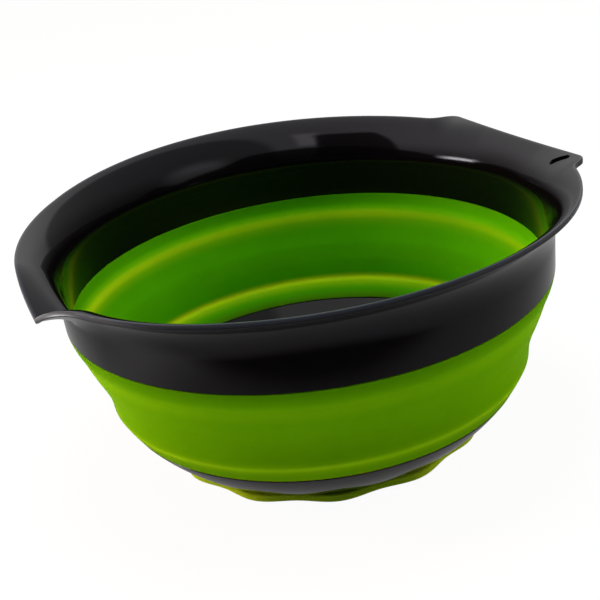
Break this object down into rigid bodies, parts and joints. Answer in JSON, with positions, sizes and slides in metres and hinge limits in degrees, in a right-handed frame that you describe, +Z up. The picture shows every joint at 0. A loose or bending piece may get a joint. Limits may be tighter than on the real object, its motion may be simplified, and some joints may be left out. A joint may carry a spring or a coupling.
{
  "type": "collapsible mixing bowl",
  "caption": "Collapsible mixing bowl with a hard rim, pour spout, handle tab with a hanging slot, soft folding wall, hard base dish and scalloped non-slip foot.",
  "frame": {"origin": "middle of the foot's underside, on the table", "axes": "+Z up, +X towards the handle tab, -X towards the pour spout; the hanging slot is at the -Y end of the tab"},
  "size_m": [0.2454, 0.244, 0.1112],
  "materials": {
    "charcoal_plastic": "smooth charcoal with a soft gloss",
    "green_rubber": "satin translucent green",
    "base_plastic": "smooth dark grey with a soft gloss",
    "foot_rubber": "matt olive green"
  },
  "bodies": {
    "base": {"base_dish": "base_plastic", "non_slip_foot": "foot_rubber", "lower_wall_band": "green_rubber", "fold_wall": "green_rubber"},
    "rim": {"rim_frame": "charcoal_plastic", "upper_wall_band": "green_rubber"}
  },
  "joints": [
    {"name": "collapse", "type": "slide", "parent": "base", "child": "rim", "axis": [0, 0, -1], "range_m": [0, 0.0625], "deforming": ["fold_wall"]}
  ]
}
